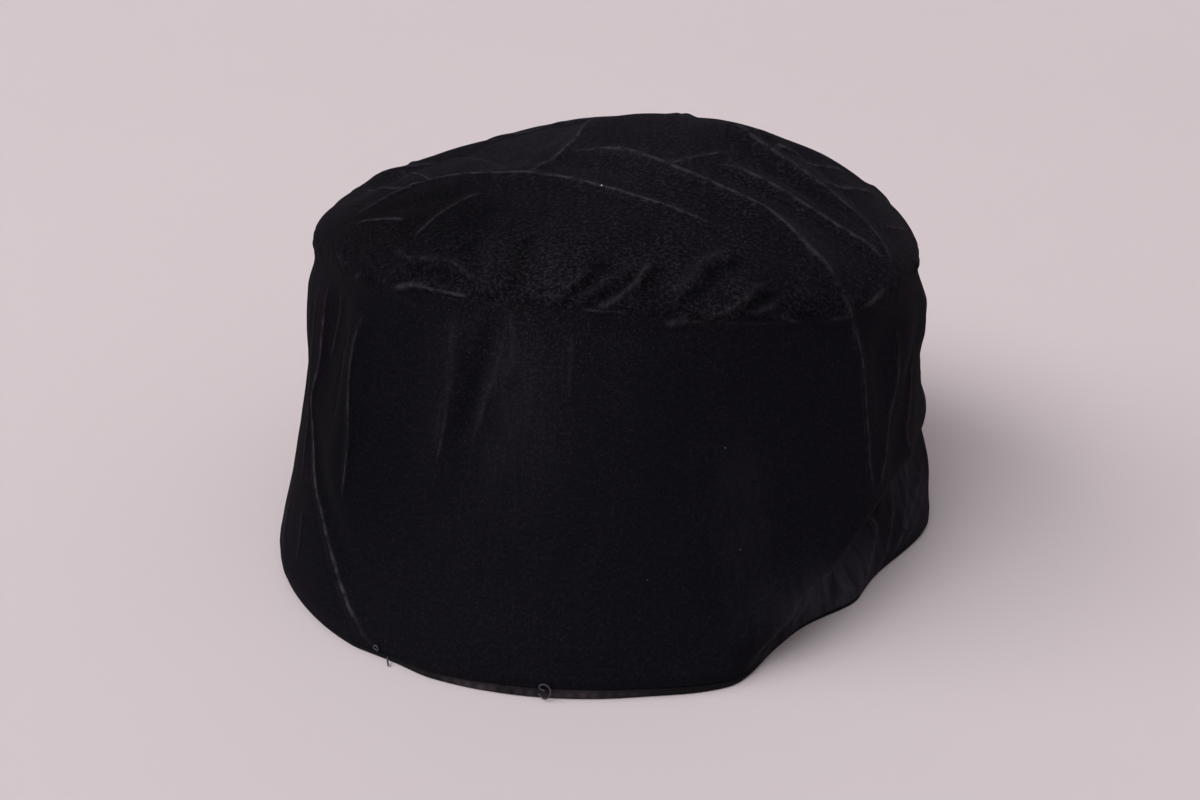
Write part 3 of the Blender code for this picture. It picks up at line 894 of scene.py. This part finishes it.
def inset_points(azimuth, height, inset):
    """Points level with the band's outer face and a set distance inside it, measured square to the cloth."""
    step = HEM_FLAP / seam_height(azimuth) / 2
    here = band_points(azimuth, height)
    round_way = band_points(azimuth + HEM_TURN, height) - band_points(azimuth - HEM_TURN, height)
    up_way = band_points(azimuth, height + step) - band_points(azimuth, np.maximum(height - step, 0))
    square = np.cross(round_way, up_way)
    square /= norm(square, axis=-1, keepdims=True)
    level = square * (1, 1, 0)
    size = norm(level, axis=-1, keepdims=True)
    return here - level / size**2 * inset[..., None]


def turned_corner(inset, height, radius, first, last):
    """A rounded corner of the hem's section about a middle, between two directions in degrees."""
    for angle in np.radians(np.linspace(first, last, HEM_CORNER_ROWS)):
        yield inset - radius * math.cos(angle), height + radius * math.sin(angle)


def hem_section(azimuth):
    """The hem's section as (inset from the band's face, height), up its outer side and down the inner one."""
    lip = lip_height(azimuth)
    flap = BAND_WALL + CLEARANCE + FLAP_EASE
    back = flap + HEM_WALL
    tip = HEM_WALL / 2
    yield from turned_corner(HEM_SETBACK + HEM_TURN_UNDER, HEM_TURN_UNDER, HEM_TURN_UNDER, -90, 0)
    yield from turned_corner(HEM_SETBACK + HEM_TUCK, lip - HEM_TUCK, HEM_TUCK, 0, 90)
    yield flap, lip
    for height in np.linspace(HEM_LIP + CLEARANCE, HEM_FLAP - tip, HEM_CORNER_ROWS)[:-1]:
        yield flap, height
    yield from turned_corner(flap + tip, HEM_FLAP - tip, tip, 0, 180)
    for height in np.linspace(HEM_FLAP - tip, HEM_TURN_UNDER, HEM_CORNER_ROWS)[1:-1]:
        yield back, height
    yield from turned_corner(back - HEM_TURN_UNDER, HEM_TURN_UNDER, HEM_TURN_UNDER, 180, 270)


def make_hem(material):
    azimuth = np.linspace(-180, 180, COLUMNS, endpoint=False)
    rows = []
    for inset, height in hem_section(azimuth):
        inset, height = (value * np.ones(COLUMNS) for value in (inset, height))
        points = inset_points(azimuth, height / seam_height(azimuth), inset)
        points[:, 2] = height
        rows.append(points)
    base = np.array(rows)
    along = up_length(base)
    round_way = np.broadcast_to(np.radians(azimuth) * RIM_WIDTH / 2, along.shape)
    cloth = np.stack((round_way, along, np.zeros_like(along)), axis=-1)
    out = HEM_WAVES * waves(base)
    level = base * (1, 1, 0)
    level /= norm(level, axis=-1, keepdims=True)
    seen = strip_seen(azimuth) * np.ones_like(along)
    face = face_of(base + level * out[..., None], cloth, CreaseField(along.shape), (seen, 0.0, 0.0), 0)
    return closed_piece("hem_cloth", (face,), False, math.pi * RIM_WIDTH, (material,))


def strand(name, points, thickness, material):
    """A loose thread: a fine round curve through a few points."""
    curve = bpy.data.curves.new(name, "CURVE")
    curve.dimensions = "3D"
    curve.bevel_depth = thickness / 2
    curve.bevel_resolution = THREAD_ROUNDNESS
    curve.use_fill_caps = True
    curve.resolution_u = THREAD_STEPS
    spline = curve.splines.new("BEZIER")
    spline.bezier_points.add(len(points) - 1)
    for knot, point in zip(spline.bezier_points, points):
        knot.co = point
        knot.handle_left_type = knot.handle_right_type = "AUTO"
    curve.materials.append(material)
    return placed(name, curve)


def on_band(azimuth, height, out):
    """A point that stands out from the band's face at an azimuth and a height in metres."""
    azimuth, height, out = np.array([azimuth]), np.array([height]), np.array([out])
    point = inset_points(azimuth, height / seam_height(azimuth), -out)[0]
    return Vector(point)


def add_node(tree, kind, inputs, **settings):
    """A shader node with its settings, and its inputs as values or as the outputs of other nodes."""
    made = tree.nodes.new("ShaderNode" + kind)
    for name, value in settings.items():
        setattr(made, name, value)
    for key, value in inputs.items():
        if isinstance(value, bpy.types.NodeSocket):
            tree.links.new(value, made.inputs[key])
        else:
            made.inputs[key].default_value = value
    return made


def attribute(tree, name):
    return add_node(tree, "Attribute", {}, attribute_name=name).outputs["Vector"]


def arithmetic(tree, operation, *values):
    return add_node(tree, "Math", dict(enumerate(values)), operation=operation).outputs[0]


def product(tree, first, second):
    return arithmetic(tree, "MULTIPLY", first, second)


def cloth_noise(tree, place, pattern):
    """Soft noise between 0 and 1 on the cloth's own places."""
    scale, detail, rough = pattern
    inputs = {"Vector": place, "Scale": scale, "Detail": detail, "Roughness": rough}
    return add_node(tree, "TexNoise", inputs).outputs["Fac"]


def spread(tree, value, ranges):
    """A value brought from one range to another, and held inside it."""
    low, high, to_low, to_high = ranges
    ends = {"Value": value, "From Min": low, "From Max": high, "To Min": to_low, "To Max": to_high}
    return add_node(tree, "MapRange", ends, interpolation_type="SMOOTHSTEP").outputs[0]


def blended(tree, share, first, second, kind="MIX"):
    made = add_node(tree, "Mix", {0: share, 6: first, 7: second}, data_type="RGBA", blend_type=kind)
    return made.outputs[2]


def start_material(name, roughness, sheen, specular):
    """A material with its even values set on the shader itself."""
    weight, sheen_roughness, tint = sheen
    made = bpy.data.materials.new(name)
    made.use_nodes = True
    tree = made.node_tree
    surface = tree.nodes["Principled BSDF"]
    values = {
        "Roughness": roughness,
        "Sheen Weight": weight,
        "Sheen Roughness": sheen_roughness,
        "Sheen Tint": (*tint, 1),
        "Specular IOR Level": specular,
    }
    for key, value in values.items():
        surface.inputs[key].default_value = value
    return made, tree, surface


def velvet(name, deep, lit):
    """Cut pile: deep ground, lighter nap, painted fibre glints, painted sheen and shade, crushed lines with
    sheen.
    """
    made, tree, surface = start_material(name, CLOTH_ROUGHNESS, VELVET_SHEEN, VELVET_SPECULAR)
    place = attribute(tree, "cloth")
    # Crease values: the distance across a pale line, its paleness, and the relief, painted as shade and light
    # below
    across, strength, fold = add_node(tree, "SeparateXYZ", {0: attribute(tree, "crease")}).outputs
    # Pile values: painted glint and warm sheen, painted sheen where brushed, painted shade where upright
    shine, brushed_sheen, upright = add_node(tree, "SeparateXYZ", {0: attribute(tree, "pile")}).outputs
    drawn = add_node(tree, "VectorMath", {0: place, 1: NAP_STRETCH}, operation="MULTIPLY").outputs[0]

    nap = cloth_noise(tree, drawn, NAP_PATCHES)
    streaks = cloth_noise(tree, drawn, NAP_STREAKS)
    tufts = cloth_noise(tree, place, PILE_TUFTS)
    cells = add_node(tree, "TexVoronoi", {"Vector": place, "Scale": PILE_FIBRES}, feature="F1")
    fibre = cells.outputs["Distance"]
    grain = spread(tree, cloth_noise(tree, place, PILE_CLUMPS), CLUMP_RANGE)
    lie = product(tree, spread(tree, nap, NAP_RANGE), spread(tree, streaks, STREAK_RANGE))
    ground = blended(tree, product(tree, lie, grain), (*deep, 1), (*lit, 1))

    # Painted warm sheen where fibres catch the light
    warm_sheen = product(tree, shine, product(tree, grain, spread(tree, nap, WARM_SHEEN_RANGE)))
    ground = blended(tree, warm_sheen, ground, (*WARM_PAINTED_SHEEN, 1))
    # Painted sheen where the pile lies brushed
    laid_sheen = product(tree, brushed_sheen, spread(tree, streaks, LAID_SHEEN_RANGE))
    ground = blended(tree, laid_sheen, ground, (*BRUSHED_PILE_PAINTED_SHEEN, 1))
    # Painted shade in the folds' valleys and painted light on their ridges
    fold_shade_and_light = spread(tree, fold, (-FOLD_DEPTH, FOLD_DEPTH, *FOLD_PAINTED_SHADE_AND_LIGHT))
    # Painted shade where the pile stands upright
    painted_shade_tone = spread(tree, upright, (0.0, 1.0, 1.0, UPRIGHT_SHADE_TONE))
    ground = blended(tree, 1.0, ground, product(tree, fold_shade_and_light, painted_shade_tone), "MULTIPLY")

    # Painted glints where single fibres catch the light
    glint_tips = product(tree, spread(tree, tufts, TUFT_RANGE), spread(tree, fibre, FIBRE_RANGE))
    level = arithmetic(tree, "ADD", product(tree, shine, 1 - GLINT_EVERYWHERE), GLINT_EVERYWHERE)
    ground = blended(tree, product(tree, glint_tips, level), ground, (*GLINT, 1))

    # Pale lines along the creases: crushed pile, with painted sheen where it catches the light
    sway = arithmetic(tree, "SUBTRACT", cloth_noise(tree, place, LINE_SWAY), 0.5)
    moved = arithmetic(tree, "ADD", across, product(tree, sway, LINE_SWAY_REACH))
    core = spread(tree, arithmetic(tree, "ABSOLUTE", moved), CORE_RANGE)
    broken = spread(tree, cloth_noise(tree, place, LINE_BREAKS), BREAK_RANGE)
    line = product(tree, product(tree, core, strength), broken)
    tree.links.new(blended(tree, line, ground, (*PALE_LINE_SHEEN, 1)), surface.inputs["Base Color"])

    relief = arithmetic(tree, "ADD", tufts, product(tree, fibre, FIBRE_SHARE))
    rough = add_node(tree, "Bump", {"Strength": PILE_BUMP, "Distance": PILE_DEPTH, "Height": relief})
    tree.links.new(rough.outputs[0], surface.inputs["Normal"])
    return made


def woven(name, deep, lit, threads_per_metre):
    """Plain woven cloth: threads that cross over and under, with a little uneven wear."""
    made, tree, surface = start_material(name, CLOTH_ROUGHNESS, CLOTH_SHEEN, CLOTH_SPECULAR)
    place = attribute(tree, "cloth")
    ends = {"Vector": place, "Scale": threads_per_metre / 2 / math.pi * WAVE_TURN, "Distortion": 0.0}
    warp = add_node(tree, "TexWave", ends, wave_type="BANDS", bands_direction="X").outputs["Fac"]
    weft = add_node(tree, "TexWave", ends, wave_type="BANDS", bands_direction="Y").outputs["Fac"]
    threads = product(tree, warp, weft)
    wear = cloth_noise(tree, place, CLOTH_WEAR)
    seen = add_node(tree, "SeparateXYZ", {0: attribute(tree, "pile")}).outputs[0]
    worn = product(tree, seen, spread(tree, wear, WEAR_RANGE))
    share = product(tree, worn, spread(tree, threads, WEAVE_RANGE))
    tree.links.new(blended(tree, share, (*deep, 1), (*lit, 1)), surface.inputs["Base Color"])
    relief = add_node(tree, "Bump", {"Strength": WEAVE_BUMP, "Distance": WEAVE_DEPTH, "Height": threads})
    tree.links.new(relief.outputs[0], surface.inputs["Normal"])
    return made


def plain_surface(name, colour, roughness, mottle):
    """A surface of one colour with faint uneven patches, for the floor and for loose bits."""
    made, tree, surface = start_material(name, roughness, NO_SHEEN, PLAIN_SPECULAR)
    place = add_node(tree, "NewGeometry", {}).outputs["Position"]
    darker = tuple(MOTTLE_TONE * channel for channel in colour)
    mottled = blended(tree, cloth_noise(tree, place, mottle), (*darker, 1), (*colour, 1))
    tree.links.new(mottled, surface.inputs["Base Color"])
    return made


def make_floor():
    """A wide pale sheet that rises in one sweep far behind the cap."""
    mesh = bpy.data.meshes.new("sweep")
    line = [(-SWEEP_REACH, 0.0)]
    for turn in np.linspace(0, math.pi / 2, SWEEP_ROWS):
        line.append((SWEEP_BACK + SWEEP_RADIUS * math.sin(turn), SWEEP_RADIUS * (1 - math.cos(turn))))
    line.append((SWEEP_BACK + SWEEP_RADIUS, SWEEP_TOP))
    points = [(side * SWEEP_REACH, y, z) for y, z in line for side in (-1, 1)]
    faces = [(2 * i, 2 * i + 1, 2 * i + 3, 2 * i + 2) for i in range(len(line) - 1)]
    mesh.from_pydata(points, [], faces)
    mesh.shade_smooth()
    mesh.materials.append(plain_surface("sweep paper", FLOOR_COLOUR, FLOOR_ROUGHNESS, FLOOR_MOTTLE))
    floor = placed("sweep", mesh)


def place_lamp(data, azimuth, elevation, distance):
    """Puts a lamp up at an azimuth, an elevation and a distance from the cap, facing it."""
    lamp = placed(data.name, data)
    turn, rise = math.radians(azimuth), math.radians(elevation)
    away = Vector((math.cos(turn) * math.cos(rise), math.sin(turn) * math.cos(rise), math.sin(rise)))
    lamp.location = CAMERA_AIM + away * distance
    lamp.rotation_euler = away.to_track_quat("Z", "Y").to_euler()


def make_lamps():
    for name, azimuth, elevation, width, strength in FAR_LAMPS:
        far = bpy.data.lights.new(name, "SUN")
        far.angle = math.radians(width)
        far.energy = strength
        place_lamp(far, azimuth, elevation, FAR_LAMP_STAND)
    name, azimuth, elevation, distance, across, watts = NEAR_LAMP
    near = bpy.data.lights.new(name, "AREA")
    near.size = across
    near.energy = watts
    place_lamp(near, azimuth, elevation, distance)


def make_world():
    world = bpy.data.worlds.new("studio")
    world.use_nodes = True
    background = world.node_tree.nodes["Background"]
    background.inputs["Color"].default_value = (*WORLD_COLOUR, 1)
    background.inputs["Strength"].default_value = WORLD_STRENGTH
    bpy.context.scene.world = world
    bpy.context.scene.view_settings.view_transform = "Standard"


def make_camera():
    data = bpy.data.cameras.new("camera")
    data.lens = LENS
    camera = placed("camera", data)
    rise = math.radians(CAMERA_ELEVATION)
    away = Vector((0, -math.cos(rise), math.sin(rise)))
    camera.location = CAMERA_AIM + away * CAMERA_DISTANCE
    camera.rotation_euler = away.to_track_quat("Z", "Y").to_euler()
    bpy.context.scene.camera = camera


def speck(name, middle, half_width, material):
    """A fleck of lint: a small uneven ball."""
    mesh = bpy.data.meshes.new(name)
    ball = bmesh.new()
    bmesh.ops.create_icosphere(ball, subdivisions=LINT_ROUNDNESS, radius=half_width)
    for vertex in ball.verts:
        vertex.co *= 1 + LINT_UNEVENNESS * noise.noise(vertex.co / half_width)
    ball.to_mesh(mesh)
    ball.free()
    mesh.shade_smooth()
    mesh.materials.append(material)
    made = placed(name, mesh)
    made.location = middle
    return made


def make_loose_bits():
    """Loose threads caught at the hem, and lint on the crown and the band."""
    thread = plain_surface("loose thread", THREAD_COLOUR, THREAD_ROUGHNESS, LOOSE_MOTTLE)
    lint = plain_surface("lint", LINT_COLOUR, LINT_ROUGHNESS, LOOSE_MOTTLE)
    fleck = plain_surface("fleck", FLECK_COLOUR, LINT_ROUGHNESS, LOOSE_MOTTLE)
    for name, *places in THREADS:
        yield strand(name, [on_band(*place) for place in places], THREAD_THICKNESS, thread)
    azimuth, rise, half_width = CROWN_LINT
    middle = crown_points(np.array([azimuth]), np.array([rise]))[0] + (0, 0, half_width)
    yield speck("crown_lint", Vector(middle), half_width, lint)
    for number, (azimuth, height, half_width) in enumerate(BAND_FLECKS, 1):
        middle = on_band(azimuth, height * seam_height(azimuth), half_width)
        yield speck(f"band_fleck_{number}", middle, half_width, fleck)


def main():
    # The crown's velvet is a lighter copy of the band's: painted light on the crown
    crown_pile_painted_light = velvet("crown velvet pile", CROWN_DEEP_PAINTED_LIGHT, CROWN_LIT_PAINTED_LIGHT)
    band_pile = velvet("band velvet pile", BAND_DEEP, BAND_LIT)
    backing = woven("velvet backing", BACKING_DEEP, BACKING_LIT, BACKING_THREADS)
    hem_weave = woven("hem weave", HEM_DEEP, HEM_LIT, HEM_THREADS)
    crown = make_crown((crown_pile_painted_light, backing))
    band = make_band((band_pile, backing))
    hem = make_hem(hem_weave)
    for piece, node in ((crown, "crown"), (band, "band"), (hem, "hem")):
        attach(piece, "root")
        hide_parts(node)
    for piece in make_loose_bits():
        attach(piece, "root")
    make_floor()
    make_world()
    make_lamps()
    make_camera()


main()
